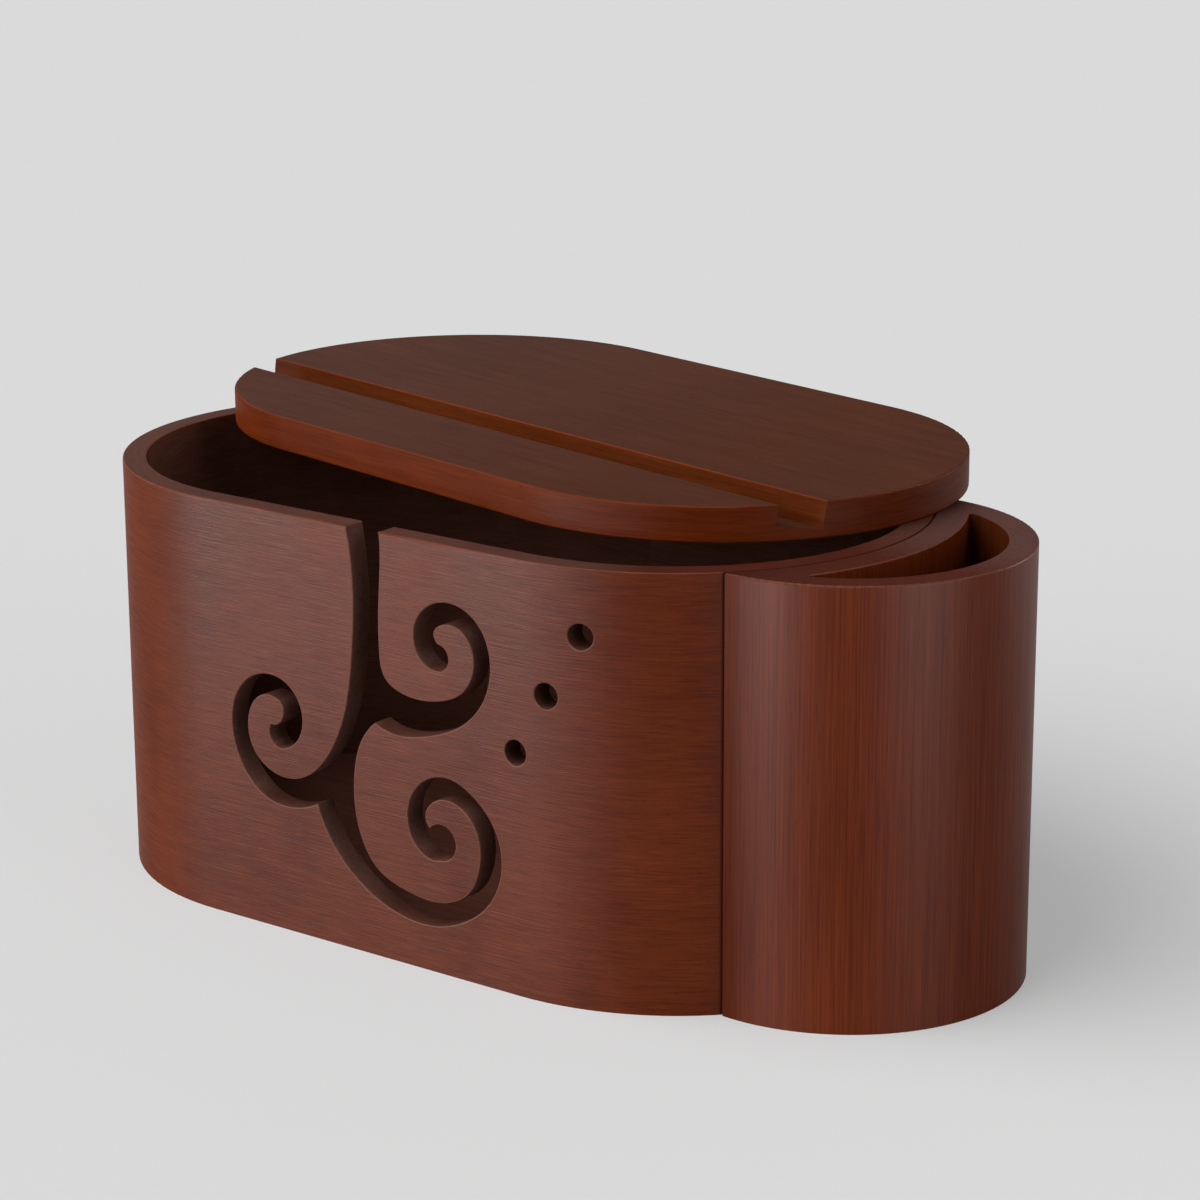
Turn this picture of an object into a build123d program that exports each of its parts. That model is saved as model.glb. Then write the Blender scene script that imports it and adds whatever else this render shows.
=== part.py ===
from build123d import *
import os

# Yarn dispenser box: an oval wooden bin with a scroll-shaped yarn slot, a crescent hook pocket
# glued to its right end, and a loose lid with a groove for a phone.
# Millimetres. +X along the box towards the pocket, +Y to the back, +Z up.
# The origin is on the underside, at the middle of the oval bin.

# ---- driving dimensions ------------------------------------------------------------------

body_length = 250.0        # oval bin, end to end
body_width = 140.0         # oval bin, front to back, also twice the radius of its round ends
body_height = 120.0        # table to rim, the same for the pocket
wall = 6.8                 # thickness of the bin's wall
floor_thickness = 7.0      # floor boards of bin and pocket
glue_line = 0.1            # gap left for glue between two pieces
arris = 0.5                # rounding of the sanded outer edges

pocket_radius = 49.6       # outer radius of the hook pocket
pocket_reach = 35.3        # how far the pocket stands out past the bin's end
pocket_wall_thickness = 7.8
pocket_back_wall = 8.9     # the pocket's own wall that is glued against the bin
seam_setback = 1.1         # how far past the crossing outlines the pocket's ends are trimmed
pocket_corner = 0.8        # radius left by the cutter in the crescent's two tips

lid_thickness = 10.0
lid_reveal = 0.6           # how far the lid's edge stays inside the bin's outline when closed
lid_turn = -11.6           # the lid lies askew: its turn about +Z, in degrees
lid_shift_x = -6.0         # and the place of its middle over the rim
lid_shift_y = 41.0

phone_groove_width = 12.0  # across its leaning walls
phone_groove_depth = 6.6   # below the lid's top, along the middle of the groove
phone_groove_lean = 9.5    # how far the groove's walls lean back, in degrees
phone_groove_offset = 28.7  # from the lid's middle line to the groove's middle, towards the front

guide_hole_diameter = 7.0
guide_hole_count = 3
guide_hole_first = (73.5, 101.8)    # X and Z of the highest guide hole
guide_hole_step = (-9.75, -17.1)    # from one guide hole to the next

# ---- the yarn scroll, seen from the front: X and Z on the wall -------------------------------
# A slot comes down from the rim and opens into three curling arms. Each arm lies between an
# inner edge and an outer edge, and ends in a round eye. The eye is given by one point on it.

slot_left_at_rim = -2.8
slot_right_at_rim = 8.3

left_arm_inner = [(-1.2, 112.0), (-0.5, 99.7), (-1.3, 86.0), (-4.9, 66.1), (-11.6, 53.1),
                  (-20.7, 45.6), (-30.2, 45.0), (-38.0, 50.3), (-40.1, 58.2), (-36.8, 65.7),
                  (-31.2, 67.6), (-26.9, 65.0), (-27.7, 60.7), (-31.5, 59.1)]
left_arm_eye = (-31.2, 54.5)
left_arm_outer = [(-27.5, 53.0), (-21.5, 57.0), (-20.0, 63.5), (-25.1, 71.6), (-35.5, 72.8),
                  (-43.8, 65.9), (-45.9, 56.7), (-42.7, 45.7), (-34.6, 38.0), (-25.0, 36.5),
                  (-15.2, 39.3)]

lower_arm_outer = [(-15.2, 39.3), (-8.3, 27.2), (1.6, 18.7), (12.5, 14.1), (24.4, 13.0),
                   (35.8, 16.4), (44.5, 23.4), (48.8, 33.2), (47.2, 44.0), (41.4, 51.1),
                   (31.0, 55.8), (22.3, 53.1), (17.2, 44.9), (18.4, 36.7), (22.6, 32.7),
                   (28.3, 32.4)]
lower_arm_eye = (33.4, 38.4)
lower_arm_inner = [(24.6, 40.5), (23.3, 44.9), (28.1, 49.4), (35.5, 48.5), (41.2, 41.8),
                   (41.6, 33.0), (37.7, 24.8), (28.5, 20.2), (16.8, 20.8), (5.6, 25.4),
                   (-0.4, 35.2), (-1.9, 48.2), (0.5, 59.5), (6.1, 66.7)]

upper_arm_outer = [(6.1, 66.7), (14.3, 64.8), (25.6, 66.8), (36.2, 71.6), (43.4, 79.5),
                   (45.9, 90.0), (42.6, 99.3), (35.0, 104.0), (26.2, 102.8), (20.7, 96.6),
                   (21.1, 89.3), (27.8, 85.2)]
upper_arm_eye = (31.9, 89.2)
upper_arm_inner = [(28.4, 92.4), (27.1, 95.8), (32.6, 98.6), (38.6, 95.5), (40.6, 88.7),
                   (36.4, 80.4), (27.5, 76.5), (16.5, 76.4), (9.9, 79.9), (8.0, 88.0),
                   (8.1, 100.0)]

# ---- worked out from the dimensions ----------------------------------------------------------

end_radius = body_width / 2
end_centre = body_length / 2 - end_radius
pocket_centre = body_length / 2 + pocket_reach - pocket_radius
pocket_offset = pocket_centre - end_centre
# X of the line where the pocket's round outline crosses the bin's round end
outline_crossing = end_centre + (
    pocket_offset ** 2 + end_radius ** 2 - pocket_radius ** 2
) / (2 * pocket_offset)
seam_x = outline_crossing + seam_setback
cut_over = 2.0             # how far a cutter runs past the wood it cuts


def oval(grow=0.0):
    """The bin's outline, made larger all round by grow."""
    return SlotOverall(body_length + 2 * grow, body_width + 2 * grow)


def board(sketch, bottom, height):
    """A board or wall of the sketch's shape, standing on the given height."""
    return extrude(Plane.XY.offset(bottom) * sketch, height)


def soften(piece, *heights):
    """The piece with the edges of its level faces at these heights rounded over."""
    level = [edge for edge in piece.edges() if any(abs(edge.center().Z - z) < 0.01 for z in heights)]
    return fillet(level, arris)


def scroll_outline():
    """The closed outline of the slot and its three arms, open past the rim."""
    above_rim = body_height + cut_over
    left_edge = [(slot_left_at_rim, above_rim), *left_arm_inner]
    right_edge = [*upper_arm_inner, (slot_right_at_rim, above_rim)]
    return [
        Spline(*left_edge),
        ThreePointArc(left_arm_inner[-1], left_arm_eye, left_arm_outer[0]),
        Spline(*left_arm_outer),
        Spline(*lower_arm_outer),
        ThreePointArc(lower_arm_outer[-1], lower_arm_eye, lower_arm_inner[0]),
        Spline(*lower_arm_inner),
        Spline(*upper_arm_outer),
        ThreePointArc(upper_arm_outer[-1], upper_arm_eye, upper_arm_inner[0]),
        Spline(*right_edge),
        Line(right_edge[-1], left_edge[0]),
    ]


def through_front(sketch):
    """A cutter that takes the sketch, drawn in X and Z, straight through the bin's front."""
    front = Plane(origin=(0, -end_radius - cut_over, 0), x_dir=(1, 0, 0), z_dir=(0, -1, 0))
    return extrude(front * sketch, -(end_radius / 2 + cut_over))


# ---- bin -------------------------------------------------------------------------------------


def make_main_wall():
    """The upright oval wall with its scroll slot and guide holes."""
    ring = soften(board(oval() - oval(-wall), 0, body_height), body_height)
    scroll = through_front(make_face(scroll_outline()))
    guide_holes = [
        through_front(Pos(*guide_hole_place(index)) * Circle(guide_hole_diameter / 2))
        for index in range(guide_hole_count)
    ]
    return ring - scroll - guide_holes


def guide_hole_place(index):
    """X and Z of one guide hole's centre, counted down from the highest."""
    return (guide_hole_first[0] + index * guide_hole_step[0],
            guide_hole_first[1] + index * guide_hole_step[1])


def make_main_floor():
    """The oval board glued inside the bottom of the wall."""
    return board(oval(-wall - glue_line), 0, floor_thickness)


# ---- hook pocket -----------------------------------------------------------------------------


def crescent(shrink=0.0):
    """The pocket's inside outline, made smaller all round by shrink."""
    bored = Pos(pocket_centre, 0) * Circle(pocket_radius - pocket_wall_thickness - shrink)
    return bored - oval(glue_line + pocket_back_wall + shrink)


def make_pocket_wall():
    """The round block glued on the bin's end, cut to its curve and bored to a crescent."""
    block = Pos(pocket_centre, 0) * Circle(pocket_radius)
    trimmed_off = Pos(seam_x - pocket_radius, 0) * Rectangle(2 * pocket_radius, 3 * pocket_radius)
    cavity = crescent()
    cavity = fillet(cavity.vertices(), pocket_corner)
    pocket = board(block - trimmed_off - oval(glue_line) - cavity, 0, body_height)
    return soften(pocket, body_height)


def make_pocket_floor():
    """The crescent board glued inside the bottom of the pocket."""
    sketch = crescent(glue_line)
    sketch = fillet(sketch.vertices(), pocket_corner)
    return board(sketch, 0, floor_thickness)


# ---- lid -------------------------------------------------------------------------------------


def make_lid_board():
    """The flat oval lid, with the leaning phone groove milled right along its top."""
    plain = board(oval(-lid_reveal), 0, lid_thickness)
    cutter = Rectangle(phone_groove_width, 2 * phone_groove_depth)
    leaning = Pos(-phone_groove_offset, lid_thickness) * Rot(0, 0, -phone_groove_lean) * cutter
    groove = extrude(Plane.YZ.offset(-body_length) * leaning, 2 * body_length)
    lid = soften(plain - groove, 0, lid_thickness)
    askew = Pos(lid_shift_x, lid_shift_y, body_height) * Rot(0, 0, lid_turn)
    return askew * lid


parts = {
    "main_wall": make_main_wall(),
    "main_floor": make_main_floor(),
    "pocket_wall": make_pocket_wall(),
    "pocket_floor": make_pocket_floor(),
    "lid_board": make_lid_board(),
}

os.makedirs("parts", exist_ok=True)
for name, piece in parts.items():
    export_step(piece, "parts/" + name + ".step")
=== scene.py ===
import math

import bmesh
import bpy
from mathutils import Matrix, Vector


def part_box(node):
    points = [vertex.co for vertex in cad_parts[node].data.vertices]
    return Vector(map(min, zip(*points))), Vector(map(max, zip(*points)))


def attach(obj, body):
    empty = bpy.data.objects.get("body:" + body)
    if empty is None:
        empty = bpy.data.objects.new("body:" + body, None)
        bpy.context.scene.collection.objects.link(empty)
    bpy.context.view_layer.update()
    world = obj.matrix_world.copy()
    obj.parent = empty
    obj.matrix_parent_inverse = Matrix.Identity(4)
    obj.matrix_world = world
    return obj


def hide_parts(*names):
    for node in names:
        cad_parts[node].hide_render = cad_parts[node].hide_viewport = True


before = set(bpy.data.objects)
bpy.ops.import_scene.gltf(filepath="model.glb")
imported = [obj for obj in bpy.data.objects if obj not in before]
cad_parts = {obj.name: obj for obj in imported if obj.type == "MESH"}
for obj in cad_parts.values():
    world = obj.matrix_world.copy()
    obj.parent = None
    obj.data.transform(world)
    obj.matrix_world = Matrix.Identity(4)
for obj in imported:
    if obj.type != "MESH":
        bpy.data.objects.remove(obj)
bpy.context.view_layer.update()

# ---- the bin's upright wall -----------------------------------------------------------------
# An oval wall of fine-grained wood, bent round lengthwise so that its ends meet at the middle of
# the back, stained dark red-brown and rubbed to a satin finish. The scroll slot is sawn through
# its front, and three guide holes are drilled beside it.

wall_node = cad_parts["main_wall"]
wall_low, wall_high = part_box("main_wall")
wall_end_radius = (wall_high[1] - wall_low[1]) / 2
wall_end_centre = wall_high[0] - wall_end_radius


def new_group(name, inputs, outputs):
    """A shader node group with these named sockets; returns it and its sockets' inner ends."""
    group = bpy.data.node_groups.new(name, "ShaderNodeTree")
    kinds = {"vector": "NodeSocketVector", "value": "NodeSocketFloat"}
    for label, (kind, default) in inputs.items():
        socket = group.interface.new_socket(label, in_out="INPUT", socket_type=kinds[kind])
        socket.default_value = default
    for label, kind in outputs.items():
        group.interface.new_socket(label, in_out="OUTPUT", socket_type=kinds[kind])
    taken, given = group.nodes.new("NodeGroupInput"), group.nodes.new("NodeGroupOutput")
    return group, taken.outputs, given.inputs


def feed(tree, socket, value):
    """Link another socket to this one, or set a plain number or place on it."""
    if isinstance(value, bpy.types.NodeSocket):
        tree.links.new(value, socket)
    else:
        socket.default_value = value


def use_group(tree, group, values):
    """A node group placed in a material and fed with its own values; returns what it puts out."""
    node = tree.nodes.new("ShaderNodeGroup")
    node.node_tree = group
    for label, value in values.items():
        feed(tree, node.inputs[label], value)
    return node.outputs


def maths(tree, kind, *values):
    """A Math node fed with numbers or sockets; returns its result."""
    node = tree.nodes.new("ShaderNodeMath")
    node.operation = kind
    for socket, value in zip(node.inputs, values):
        feed(tree, socket, value)
    return node.outputs[0]


def product(tree, first, *others):
    """The numbers or sockets, all multiplied."""
    for other in others:
        first = maths(tree, "MULTIPLY", first, other)
    return first


def total(tree, first, *others):
    """The numbers or sockets, all added up."""
    for other in others:
        first = maths(tree, "ADD", first, other)
    return first


def away_from(tree, first, second):
    """How far off a point is that lies this far along two square directions."""
    return maths(
        tree, "SQRT", total(tree, product(tree, first, first), product(tree, second, second))
    )


def apart(tree, vector):
    """The three coordinates of a place or direction, named X, Y and Z."""
    node = tree.nodes.new("ShaderNodeSeparateXYZ")
    tree.links.new(vector, node.inputs[0])
    return node.outputs


def together(tree, *values):
    """A place made up of three numbers or sockets."""
    node = tree.nodes.new("ShaderNodeCombineXYZ")
    for socket, value in zip(node.inputs, values):
        feed(tree, socket, value)
    return node.outputs[0]


def drawn_out(tree, vector, factors):
    """The place with each coordinate multiplied by a factor of its own."""
    node = tree.nodes.new("ShaderNodeVectorMath")
    node.operation = "MULTIPLY"
    feed(tree, node.inputs[0], vector)
    feed(tree, node.inputs[1], factors)
    return node.outputs[0]


def noise(tree, vector, detail, roughness):
    """A Noise Texture of scale 1 over the place; returns its value."""
    node = tree.nodes.new("ShaderNodeTexNoise")
    tree.links.new(vector, node.inputs["Vector"])
    for label, number in (("Scale", 1.0), ("Detail", detail), ("Roughness", roughness)):
        node.inputs[label].default_value = number
    return node.outputs["Fac"]


def spread(tree, value, low, high, to_low=0.0, to_high=1.0):
    """The value, with low..high spread over to_low..to_high and clamped."""
    node = tree.nodes.new("ShaderNodeMapRange")
    tree.links.new(value, node.inputs["Value"])
    ends = {"From Min": low, "From Max": high, "To Min": to_low, "To Max": to_high}
    for label, number in ends.items():
        node.inputs[label].default_value = number
    return node.outputs[0]


def falling(tree, value, low, high):
    """A mask that is 1 up to low and falls to 0 at high."""
    return spread(tree, value, low, high, 1.0, 0.0)


# Stained wood seen close, all of it drawn out along the first coordinate. The vector is in metres:
# along the grain, across it and into the board. Each figure has its scale along and across the
# grain, its detail and roughness, and where its noise starts to show and shows in full.
grain_figures = {
    "Streaks": (1.0, 1900.0, 3.0, 0.60, 0.30, 0.70),
    "Bands": (0.5, 420.0, 3.0, 0.55, 0.30, 0.70),
    "Pores": (5.0, 2600.0, 2.0, 0.50, 0.60, 0.72),
    "Clouds": (0.35, 14.0, 2.0, 0.50, 0.30, 0.70),
    "Hairs": (0.5, 5200.0, 1.0, 0.50, 0.00, 1.00),
}
grain, grain_in, grain_out = new_group(
    "stained_grain", {"Vector": ("vector", (0, 0, 0)), "Streak length": ("value", 0.03)},
    dict.fromkeys(grain_figures, "value"),
)
grain_spot = apart(grain, grain_in["Vector"])
along_grain = maths(grain, "DIVIDE", grain_spot["X"], grain_in["Streak length"])
streaked = together(grain, along_grain, grain_spot["Y"], grain_spot["Z"])
for label, (along, across, detail, roughness, starts, full) in grain_figures.items():
    pattern = noise(grain, drawn_out(grain, streaked, (along, across, across)), detail, roughness)
    grain.links.new(spread(grain, pattern, starts, full), grain_out[label])

# Which faces lie level, where a rounded arris turns from an upright face to a level one, and which
# faces lean back a little, as the sides of the lid's groove do. A face's rise is 0 when it stands
# upright and 1 when it lies level.
arris_slant, level_rise = (0.08, 0.22), (0.6, 0.9)
lean_starts, lean_ends = (0.010, 0.022), (0.035, 0.060)
turned_edge, edge_in, edge_out = new_group(
    "turned_edge", {"Normal": ("vector", (0, 0, 1))},
    {"Arris": "value", "Level": "value", "Leaning": "value"},
)
upward = apart(turned_edge, edge_in["Normal"])["Z"]
rise = product(turned_edge, upward, upward)
slant = product(turned_edge, rise, maths(turned_edge, "SUBTRACT", 1.0, rise))
leaning = product(
    turned_edge, spread(turned_edge, rise, *lean_starts), falling(turned_edge, rise, *lean_ends)
)
turned_edge.links.new(spread(turned_edge, slant, *arris_slant), edge_out["Arris"])
turned_edge.links.new(spread(turned_edge, rise, *level_rise), edge_out["Level"])
turned_edge.links.new(leaning, edge_out["Leaning"])

# Where a point of the bent wall lies: how far round the oval, how high, how deep in the wall.
round_wall, round_in, round_out = new_group(
    "round_the_oval",
    {
        "Position": ("vector", (0, 0, 0)),
        "End centre": ("value", wall_end_centre),
        "End radius": ("value", wall_end_radius),
    },
    {"Vector": "vector"},
)
east, north, up = apart(round_wall, round_in["Position"])
centre, radius = round_in["End centre"], round_in["End radius"]
reach = maths(round_wall, "ABSOLUTE", east)
straight = maths(round_wall, "MINIMUM", reach, centre)
beyond = maths(round_wall, "MAXIMUM", maths(round_wall, "SUBTRACT", reach, centre), 0.0)
turn = maths(round_wall, "ARCTAN2", beyond, product(round_wall, north, -1.0))
behind = maths(round_wall, "GREATER_THAN", north, 0.0)
back_run = product(round_wall, behind, 2.0, maths(round_wall, "SUBTRACT", centre, straight))
run = total(round_wall, straight, back_run, product(round_wall, turn, radius))
run_to_side = product(round_wall, run, maths(round_wall, "SIGN", east))
bent = together(round_wall, run_to_side, up, away_from(round_wall, beyond, north))
round_wall.links.new(bent, round_out["Vector"])


def blend_colours(tree, mask, first, second, kind="MIX"):
    """A Mix node that goes from the first colour to the second with the mask."""
    node = tree.nodes.new("ShaderNodeMix")
    node.data_type = "RGBA"
    node.blend_type = kind
    mask_socket, first_socket, second_socket = node.inputs[0], node.inputs[6], node.inputs[7]
    feed(tree, mask_socket, mask)
    for socket, colour in ((first_socket, first), (second_socket, second)):
        linked = isinstance(colour, bpy.types.NodeSocket)
        feed(tree, socket, colour if linked else (*colour, 1.0))
    return node.outputs[2]


def turned_faces(tree):
    """The masks of level, leaning and rounded faces."""
    normal = tree.nodes.new("ShaderNodeTexCoord").outputs["Normal"]
    return use_group(tree, turned_edge, {"Normal": normal})


def over_stain(tree, mask, colour, kind="MIX"):
    """Lay a colour over the stain where the mask is 1."""
    socket = tree.nodes["Principled BSDF"].inputs["Base Color"]
    tree.links.new(blend_colours(tree, mask, socket.links[0].from_socket, colour, kind), socket)


pore_strength, pore_darkness = 0.35, 0.45
cloudy_polish, streaky_polish = 0.04, 0.03
relief_strength, relief_depth = 0.2, 0.00005


def stained_wood(name, place, finish):
    """A satin stained wood; place(tree) gives the spot along, across and into the grain."""
    material = bpy.data.materials.new(name)
    material.use_nodes = True
    tree = material.node_tree
    shader = tree.nodes["Principled BSDF"]
    wood = use_group(tree, grain, {"Vector": place(tree), "Streak length": finish["length"]})
    edge = turned_faces(tree)
    streak_share, band_share = finish["shares"]
    figure = total(
        tree, product(tree, wood["Streaks"], streak_share), product(tree, wood["Bands"], band_share)
    )
    cloud_share = 1.0 - streak_share - band_share
    tone = total(tree, figure, product(tree, wood["Clouds"], cloud_share))
    side = blend_colours(tree, tone, finish["deep"], finish["light"])
    # The level faces take tones of their own, which carry painted sheen.
    level = blend_colours(tree, tone, finish["level_deep_and_sheen"], finish["level_light_and_sheen"])
    stain = blend_colours(tree, edge["Level"], side, level)
    pores = product(tree, wood["Pores"], pore_strength)
    pore_colour = [channel * pore_darkness for channel in finish["deep"]]
    pored = blend_colours(tree, pores, stain, pore_colour)
    # Rounded arrises turn to a lighter colour: rubbed wear and a painted highlight.
    worn_and_highlit = product(tree, edge["Arris"], finish["wear_and_highlight"])
    tree.links.new(blend_colours(tree, worn_and_highlit, pored, finish["rubbed_highlight"]), shader.inputs["Base Color"])
    polish = total(
        tree,
        spread(tree, edge["Level"], 0.0, 1.0, *finish["rough"]),
        spread(tree, wood["Clouds"], 0.0, 1.0, -cloudy_polish, cloudy_polish),
        spread(tree, wood["Streaks"], 0.0, 1.0, streaky_polish, -streaky_polish),
    )
    tree.links.new(polish, shader.inputs["Roughness"])
    relief = tree.nodes.new("ShaderNodeBump")
    relief.inputs["Strength"].default_value = relief_strength
    relief.inputs["Distance"].default_value = relief_depth
    tree.links.new(maths(tree, "SUBTRACT", figure, pores), relief.inputs["Height"])
    brushed = tree.nodes.new("ShaderNodeBump")
    brushed.inputs["Distance"].default_value = finish["brushed"]
    tree.links.new(wood["Hairs"], brushed.inputs["Height"])
    tree.links.new(relief.outputs[0], brushed.inputs["Normal"])
    tree.links.new(brushed.outputs[0], shader.inputs["Normal"])
    shader.inputs["IOR"].default_value = finish["ior"]
    return material


def object_place(tree):
    """The point's place in the object's own frame."""
    return tree.nodes.new("ShaderNodeTexCoord").outputs["Object"]


def place_round_wall(tree):
    """The point's place along, up and into the bent wall."""
    return use_group(tree, round_wall, {"Position": object_place(tree)})["Vector"]


# A finish has the stain's deep and light tones on upright faces and on level faces, where the level
# tones carry painted sheen; the colour and strength of a lighter arris, which is rubbed wear and a
# painted highlight; the shares of streaks and bands, the streaks' length, the roughness of upright
# and level faces, the depth of the brushed hairs, and how strongly the surface reflects.
wall_finish = {
    "deep": (0.056, 0.007, 0.001), "light": (0.157, 0.028, 0.006),
    "level_deep_and_sheen": (0.046, 0.020, 0.015), "level_light_and_sheen": (0.096, 0.034, 0.023),
    "rubbed_highlight": (0.22, 0.09, 0.06), "wear_and_highlight": 0.30, "shares": (0.50, 0.20), "length": 0.010,
    "rough": (0.45, 0.45), "brushed": 0.000045, "ior": 1.08,
}
wall_wood = stained_wood("bin_wall_wood", place_round_wall, wall_finish)

# Painted shade lies in the joint where the pocket stands against the wall: a dark line down the two
# upright corners, and in the line between the two rims. The rim's level faces carry painted sheen,
# lighter and greyer at the left end, and a painted reflection of the dark lid, darker and redder in
# front beside the pocket.
painted_joint_shade = (0.045, 0.007, 0.002)
pocket_corner, below_rims, rim_line = (0.1046, 0.1051), (0.1191, 0.1195), (0.0695, 0.0698)
reflection_towards_pocket, reflection_in_front = (0.074, 0.088), (-0.014, 0.010)
wall_lid_reflection, left_sheen_tint, left_sheen_end = (0.80, 0.42, 0.34), (1.12, 1.25, 1.30), (-0.115, -0.060)


def painted_lid_reflection(tree, tint):
    """Tint the level faces in front, beside the pocket, darker and redder: a painted reflection of
    the dark lid.
    """
    spot = apart(tree, object_place(tree))
    lid_reflection_mask = product(
        tree, spread(tree, spot["X"], *reflection_towards_pocket),
        falling(tree, spot["Y"], *reflection_in_front), turned_faces(tree)["Level"],
    )
    over_stain(tree, lid_reflection_mask, tint, "MULTIPLY")


wall_tree = wall_wood.node_tree
wall_spot = apart(wall_tree, object_place(wall_tree))
wall_depth = apart(wall_tree, place_round_wall(wall_tree))["Z"]
corner_or_line = maths(
    wall_tree, "MAXIMUM", falling(wall_tree, wall_spot["Z"], *below_rims),
    spread(wall_tree, wall_depth, *rim_line),
)
joint_shade_mask = product(
    wall_tree, spread(wall_tree, wall_spot["X"], *pocket_corner), corner_or_line
)
left_sheen_mask = product(
    wall_tree, falling(wall_tree, wall_spot["X"], *left_sheen_end), turned_faces(wall_tree)["Level"]
)
# Painted reflection of the dark lid on the front rim, painted sheen at the left end, painted shade
# in the joint.
painted_lid_reflection(wall_tree, wall_lid_reflection)
over_stain(wall_tree, left_sheen_mask, left_sheen_tint, "MULTIPLY")
over_stain(wall_tree, joint_shade_mask, painted_joint_shade)

# The inside was only stained. The slot's sawn sides show end grain, the drilled holes are darker
# still with painted shade, and every arris of the slot and the holes is lighter: rubbed wear and a
# painted highlight.
inner_finish = dict(
    wall_finish, deep=(0.08, 0.028, 0.018), light=(0.18, 0.07, 0.045), rough=(0.8, 0.8),
    brushed=0.00004, ior=1.03,
)
sawn_finish = dict(
    inner_finish, deep=(0.066, 0.031, 0.023), light=(0.155, 0.071, 0.053), length=0.004, wear_and_highlight=0.0
)
# The arris colour is lighter: rubbed wear and a painted highlight.
arris_highlight_finish = dict(
    sawn_finish, deep=(0.13, 0.05, 0.034), light=(0.20, 0.085, 0.062), rough=(0.5, 0.5)
)
# The holes' colour is darkened to paint the shade inside them.
drilled_shade_finish = dict(sawn_finish, deep=(0.034, 0.013, 0.008), light=(0.080, 0.030, 0.018))
wall_woods = (
    wall_wood,
    stained_wood("sawn_wood", object_place, sawn_finish),
    stained_wood("rubbed_arris_painted_highlight", object_place, arris_highlight_finish),
    stained_wood("inner_wood", place_round_wall, inner_finish),
    stained_wood("drilled_wood_painted_shade", object_place, drilled_shade_finish),
)
outer, sawn, arris, inner, drilled = range(len(wall_woods))

# The holes lie on a slanting line. Hole reach is a little more than a hole's radius.
first_hole, hole_step, hole_count, hole_reach = (0.0735, 0.1018), (0.00975, 0.0171), 3, 0.0045
guide_holes = [
    (first_hole[0] - hole_step[0] * index, first_hole[1] - hole_step[1] * index)
    for index in range(hole_count)
]

# Copy the solid wall, join its facets into whole faces, tell its sides apart and round the arrises.
joined_within, flat_turn = 0.000002, math.radians(0.6)
rim_margin, cut_side_share = 0.001, 0.4
arris_width, arris_turn, arris_segments = 0.00035, math.radians(50), 2
sharp_turn = math.radians(32)
upright_tilt, level_tilt = 0.01, 0.999

bin_wall = bpy.data.objects.new("bin_wall", wall_node.data.copy())
bpy.context.collection.objects.link(bin_wall)
bin_wall.data.materials.clear()
for wood_kind in wall_woods:
    bin_wall.data.materials.append(wood_kind)
form = bmesh.new()
form.from_mesh(bin_wall.data)
bmesh.ops.remove_doubles(form, verts=form.verts, dist=joined_within)
bmesh.ops.dissolve_limit(
    form, angle_limit=flat_turn, verts=form.verts, edges=form.edges, delimit={"NORMAL"}
)


def out_of_wall(point):
    """The level direction straight out of the oval at a point."""
    over = max(abs(point.x) - wall_end_centre, 0.0)
    return Vector((math.copysign(over, point.x), point.y, 0.0)).normalized()


for face in form.faces:
    middle = face.calc_center_median()
    in_height = wall_low[2] + rim_margin < middle.z < wall_high[2] - rim_margin
    outward = face.normal.dot(out_of_wall(middle))
    if in_height and abs(outward) < cut_side_share:
        in_hole = any(math.hypot(middle.x - x, middle.z - z) < hole_reach for x, z in guide_holes)
        face.material_index = drilled if in_hole else sawn
    elif in_height and outward < 0:
        face.material_index = inner
rubbed_highlit_pairs = ({outer, sawn}, {sawn, inner}, {outer, drilled}, {inner, drilled})
edges = [
    edge for edge in form.edges
    if edge.is_manifold and edge.calc_face_angle(0.0) > arris_turn
    and {face.material_index for face in edge.link_faces} in rubbed_highlit_pairs
]
bmesh.ops.bevel(
    form, geom=edges, offset=arris_width, offset_type="OFFSET", segments=arris_segments,
    profile=0.5, affect="EDGES", clamp_overlap=False, material=arris,
)
form.to_mesh(bin_wall.data)
form.free()

# Shade the bent faces as smooth curves, and the rims and the foot as flat ones.
bin_wall.data.shade_smooth()
bin_wall.data.set_sharp_from_angle(angle=sharp_turn)
corner_normals = [Vector(normal.vector) for normal in bin_wall.data.corner_normals]
for face in bin_wall.data.polygons:
    tilt = abs(face.normal.z)
    if face.material_index in (sawn, arris, drilled) or upright_tilt < tilt < level_tilt:
        continue
    for corner in face.loop_indices:
        corner_point = bin_wall.data.vertices[bin_wall.data.loops[corner].vertex_index].co
        straight_out = out_of_wall(corner_point)
        outside = 1.0 if straight_out.dot(face.normal) > 0 else -1.0
        lies_level = tilt >= level_tilt
        corner_normals[corner] = Vector(face.normal) if lies_level else straight_out * outside
bin_wall.data.normals_split_custom_set(corner_normals)
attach(bin_wall, "box")
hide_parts("main_wall")

# ---- the bin's floor board ------------------------------------------------------------------
# An oval board of the same wood, stained but not rubbed, its grain lengthwise. It is sawn to the
# inside of the wall and glued in flush with its foot.


def dress(node, wood):
    """Give a piece of the frame this wood and no other."""
    node.data.materials.clear()
    node.data.materials.append(wood)


floor_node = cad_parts["main_floor"]
# Its level faces take the same tones as its upright ones, with no painted sheen.
floor_finish = dict(
    inner_finish, level_deep_and_sheen=(0.08, 0.028, 0.018), level_light_and_sheen=(0.18, 0.07, 0.045), length=0.03
)
dress(floor_node, stained_wood("bin_floor_wood", object_place, floor_finish))

# ---- the hook pocket ------------------------------------------------------------------------
# A round-ended block of the same stained wood, its grain upright, glued against the bin's right
# end. It is bored out to a crescent that holds the crochet hooks.


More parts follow.
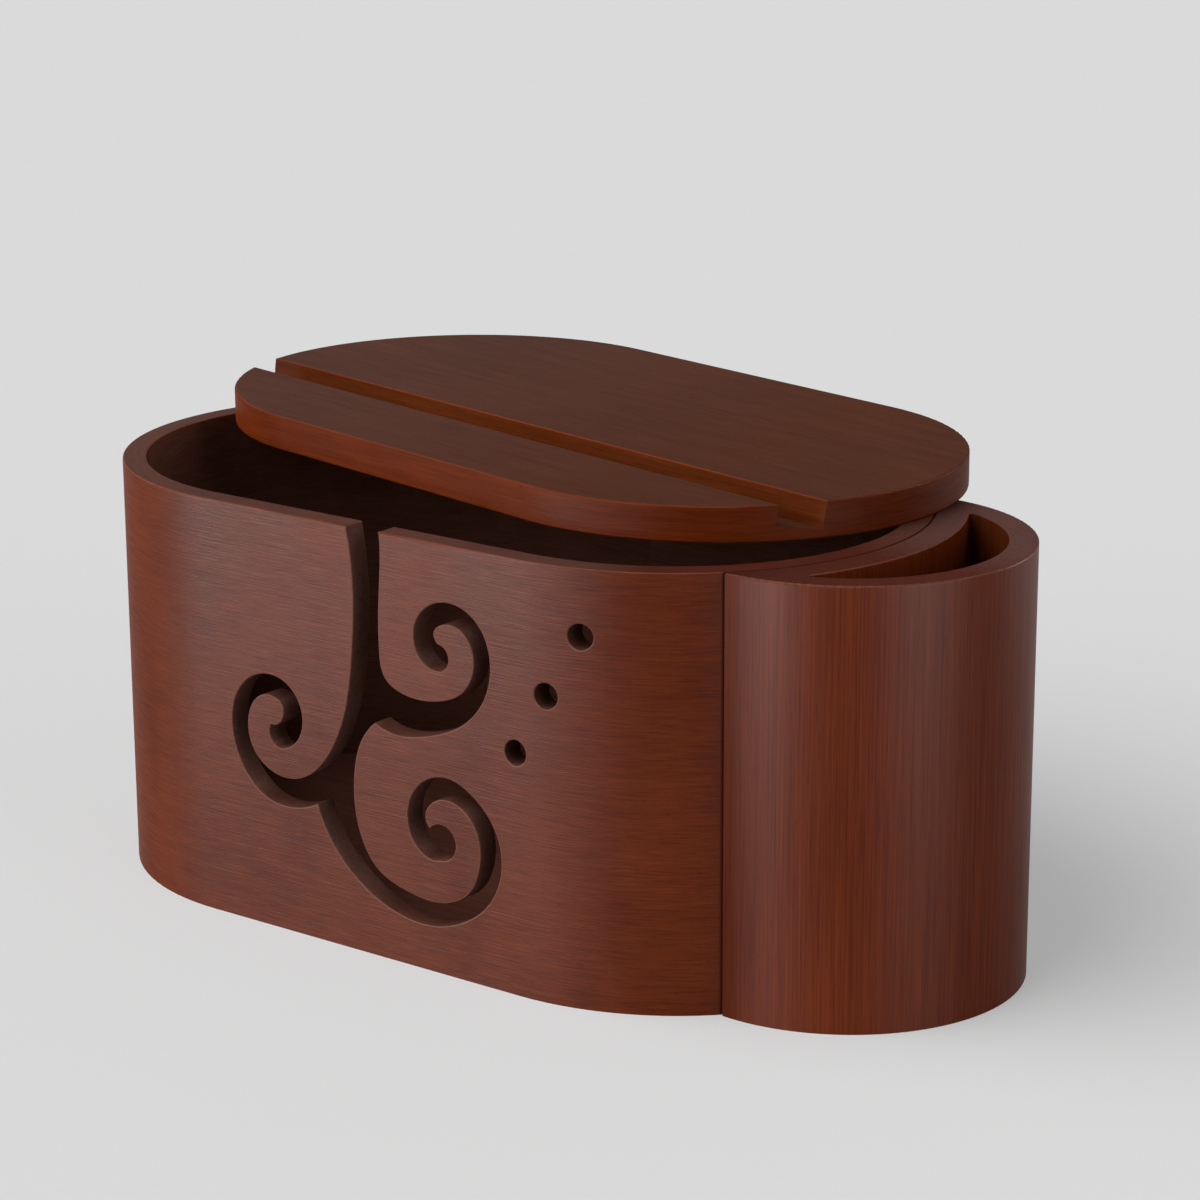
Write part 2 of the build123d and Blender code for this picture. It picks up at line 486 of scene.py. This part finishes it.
def upright_place(tree):
    """The point's place with the height first, so that the grain stands upright."""
    spot = apart(tree, object_place(tree))
    return together(tree, spot["Z"], spot["X"], spot["Y"])


pocket_finish = {
    "deep": (0.068, 0.0078, 0.0015), "light": (0.177, 0.032, 0.007),
    "level_deep_and_sheen": (0.050, 0.026, 0.022), "level_light_and_sheen": (0.106, 0.042, 0.034),
    "rubbed_highlight": (0.22, 0.12, 0.095), "wear_and_highlight": 0.26, "shares": (0.58, 0.10), "length": 0.045,
    "rough": (0.40, 0.45), "brushed": 0.00004, "ior": 1.05,
}
pocket_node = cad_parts["pocket_wall"]
pocket_wood = stained_wood("pocket_wood", upright_place, pocket_finish)

# The rubbing pad doesn't reach into the corners beside the wall, so the sheen fades out there, and
# the colour is darker there, painted shade. The bored side is darker with painted shade, painted
# shade lies in the line along the wall, and the rim in front is darker and redder, a painted
# reflection of the dark lid.
pad_edge, pad_sheen, corner_shade_tint = (0.108, 0.120), 0.17, (0.74, 0.74, 0.74)
sheen_ior, sheen_roughness = 1.25, 0.40
bore_starts, bore_ends, bore_shade_tint = (0.0400, 0.0412), (0.0420, 0.0424), (0.42, 0.50, 0.60)
pocket_lid_reflection, wall_line = (0.76, 0.42, 0.30), (0.0702, 0.0705)

pocket_low, pocket_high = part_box("pocket_wall")
pocket_radius = (pocket_high[1] - pocket_low[1]) / 2
pocket_axis = pocket_high[0] - pocket_radius
pocket_tree = pocket_wood.node_tree
pocket_shader = pocket_tree.nodes["Principled BSDF"]
upright = maths(pocket_tree, "SUBTRACT", 1.0, turned_faces(pocket_tree)["Level"])
pocket_spot = apart(pocket_tree, object_place(pocket_tree))
pad_reach = spread(pocket_tree, pocket_spot["X"], *pad_edge)
sheen = product(pocket_tree, pad_reach, upright, pad_sheen)
pocket_tree.links.new(sheen, pocket_shader.inputs["Coat Weight"])
pocket_shader.inputs["Coat IOR"].default_value = sheen_ior
pocket_shader.inputs["Coat Roughness"].default_value = sheen_roughness
corner_shade_mask = maths(pocket_tree, "SUBTRACT", 1.0, pad_reach)
# Painted shade in the corner beside the wall.
over_stain(pocket_tree, corner_shade_mask, corner_shade_tint, "MULTIPLY")
from_middle = maths(pocket_tree, "SUBTRACT", pocket_spot["X"], pocket_axis)
from_axis = away_from(pocket_tree, from_middle, pocket_spot["Y"])
bore_shade_mask = product(
    pocket_tree, upright, spread(pocket_tree, from_axis, *bore_starts),
    falling(pocket_tree, from_axis, *bore_ends),
)
# Painted shade on the bored side.
over_stain(pocket_tree, bore_shade_mask, bore_shade_tint, "MULTIPLY")
# Painted reflection of the dark lid on the front rim.
painted_lid_reflection(pocket_tree, pocket_lid_reflection)
pocket_depth = apart(pocket_tree, place_round_wall(pocket_tree))["Z"]
# Painted shade in the line along the wall.
over_stain(pocket_tree, falling(pocket_tree, pocket_depth, *wall_line), painted_joint_shade)
dress(pocket_node, pocket_wood)

# ---- the pocket's floor board ---------------------------------------------------------------
# A crescent of thin board in the bin floor's finish. It is sawn to the bore and glued into the
# bottom of the pocket.

pocket_floor_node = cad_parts["pocket_floor"]
dress(pocket_floor_node, stained_wood("pocket_floor_wood", object_place, floor_finish))

# ---- the lid --------------------------------------------------------------------------------
# A flat oval board of the same stained wood, its grain along its length, with a groove that leans
# back milled into its top to hold a phone. It is not fixed: it lies loose and askew on the rim.

lid_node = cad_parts["lid_board"]
lid_turn = math.radians(-11.6)
edge_grain = 0.05


def along_lid(tree):
    """The point's place, along the lid first; round its edge the grain is drawn out level."""
    turned = tree.nodes.new("ShaderNodeMapping")
    turned.inputs["Rotation"].default_value = (0, 0, -lid_turn)
    tree.links.new(object_place(tree), turned.inputs["Vector"])
    across = spread(tree, turned_faces(tree)["Level"], 0.0, 1.0, edge_grain, 1.0)
    return drawn_out(tree, turned.outputs[0], together(tree, 1.0, across, 1.0))


# Its level tones carry painted sheen and are darker as well, painted shade.
lid_finish = {
    "deep": (0.066, 0.008, 0.001), "light": (0.160, 0.028, 0.005),
    "level_deep_and_sheen": (0.052, 0.022, 0.016), "level_light_and_sheen": (0.092, 0.038, 0.027),
    "rubbed_highlight": (0.22, 0.09, 0.06), "wear_and_highlight": 0.12, "shares": (0.4, 0.3), "length": 0.02,
    "rough": (0.40, 0.5), "brushed": 0.00002, "ior": 1.045,
}
lid_wood = stained_wood("lid_wood", along_lid, lid_finish)

# Painted shade on the milled sides of the groove, which lean back: duller and darker. The board's
# level faces are darker and redder towards its right end, painted shade.
groove_shade_tint = (0.68, 0.92, 1.2)
right_shade_span, right_shade_tint = (-0.09, 0.05), (0.93, 0.74, 0.56)
lid_tree = lid_wood.node_tree
lid_faces = turned_faces(lid_tree)
# Painted shade on the groove's sides.
over_stain(lid_tree, lid_faces["Leaning"], groove_shade_tint, "MULTIPLY")
lid_spot = apart(lid_tree, object_place(lid_tree))
right_shade_mask = product(
    lid_tree, lid_faces["Level"], spread(lid_tree, lid_spot["X"], *right_shade_span)
)
# Painted shade towards the right end.
over_stain(lid_tree, right_shade_mask, right_shade_tint, "MULTIPLY")
dress(lid_node, lid_wood)

# ---- the table and the light ----------------------------------------------------------------
# A plain pale sheet that the box stands on, with no edge in sight. One broad soft light comes from
# the left in front, as from a window, the room fills in the rest, and white cards give the sheen.

table_size = 60.0
paper_grey, paper_glow, paper_roughness = 0.325, 0.305, 0.9
room_grey = 0.29

bpy.ops.mesh.primitive_grid_add(
    x_subdivisions=2, y_subdivisions=2, size=table_size, location=(0, 0, 0)
)
table_top = bpy.context.object
table_top.name = "table_top"
paper = bpy.data.materials.new("pale_paper")
paper.use_nodes = True
paper_tree = paper.node_tree
paper_shader = paper_tree.nodes["Principled BSDF"]
paper_shader.inputs["Roughness"].default_value = paper_roughness
paper_shader.inputs["Specular IOR Level"].default_value = 0.0
paper_shader.inputs["Base Color"].default_value = (paper_grey, paper_grey, paper_grey, 1.0)
rays = paper_tree.nodes.new("ShaderNodeLightPath").outputs
reflected = maths(paper_tree, "MAXIMUM", rays["Is Glossy Ray"], rays["Is Transmission Ray"])
seen = maths(paper_tree, "MAXIMUM", rays["Is Camera Ray"], reflected)
paper_shader.inputs["Emission Color"].default_value = (1.0, 1.0, 1.0, 1.0)
glow = product(paper_tree, seen, paper_glow)
paper_tree.links.new(glow, paper_shader.inputs["Emission Strength"])
table_top.data.materials.append(paper)

world = bpy.data.worlds.new("studio")
bpy.context.scene.world = world
world.use_nodes = True
room = world.node_tree.nodes["Background"]
room.inputs["Color"].default_value = (room_grey, room_grey, room_grey, 1.0)
room.inputs["Strength"].default_value = 1.0

lit_point = Vector((0.0, 0.0, 0.06))
soft_light_distance, card_distance = 3.0, 1.6
card_elevation, card_height = 1, 0.17


def towards(azimuth, elevation):
    """The direction at an angle from the front to the right and an angle up, in radians."""
    return Vector((
        math.sin(azimuth) * math.cos(elevation),
        -math.cos(azimuth) * math.cos(elevation),
        math.sin(elevation),
    ))


def light_from(name, data, azimuth, elevation, distance):
    """Hang a light at an azimuth and an elevation in degrees, so that it shines on the box."""
    lamp = bpy.data.objects.new(name, data)
    source = towards(math.radians(azimuth), math.radians(elevation))
    lamp.location = lit_point + source * distance
    lamp.rotation_euler = source.to_track_quat("Z", "Y").to_euler()
    bpy.context.collection.objects.link(lamp)
    return lamp


def soft_light(name, azimuth, elevation, width, strength):
    """A broad, even light, this many degrees wide."""
    data = bpy.data.lights.new(name, "SUN")
    data.energy, data.angle = strength, math.radians(width)
    light_from(name, data, azimuth, elevation, soft_light_distance)


def reflector(name, azimuth, width, power):
    """A low white card some way off, which only shows as sheen on the satin finish."""
    data = bpy.data.lights.new(name, "AREA")
    data.shape = "RECTANGLE"
    data.size, data.size_y, data.energy = width, card_height, power
    lamp = light_from(name, data, azimuth, card_elevation, card_distance)
    lamp.visible_diffuse = False


soft_light("window_light", azimuth=-38, elevation=42, width=75, strength=4.1)
soft_light("side_light", azimuth=85, elevation=20, width=40, strength=0.55)
reflector("left_card", azimuth=-36, width=0.67, power=215.0)
reflector("front_card", azimuth=-8, width=0.64, power=100.0)
reflector("right_card", azimuth=78, width=0.96, power=88.0)
reflector("back_card", azimuth=152, width=0.80, power=24.0)

# ---- the camera -----------------------------------------------------------------------------
# It stands in front of the box and to the right of it, a little above the rim, and looks at the
# middle of the bin through a long lens.

view_azimuth = math.radians(37.1)
view_height = math.radians(15.87)
view_roll = math.radians(-0.245)
view_distance = 1.008
view_target = Vector((0.0214, 0.0101, 0.0851))
view_focal, film_width = 107.61, 36.0
view_nearest, view_farthest = 0.05, 50.0

camera_data = bpy.data.cameras.new("camera")
camera = bpy.data.objects.new("camera", camera_data)
bpy.context.collection.objects.link(camera)
back = towards(view_azimuth, view_height)
camera.location = view_target + back * view_distance
facing = (-back).to_track_quat("-Z", "Y").to_matrix().to_4x4()
camera.rotation_euler = (facing @ Matrix.Rotation(view_roll, 4, "Z")).to_euler()
camera_data.sensor_width = film_width
camera_data.lens = view_focal
camera_data.clip_start, camera_data.clip_end = view_nearest, view_farthest
bpy.context.scene.camera = camera
bpy.context.scene.view_settings.view_transform = "Standard"
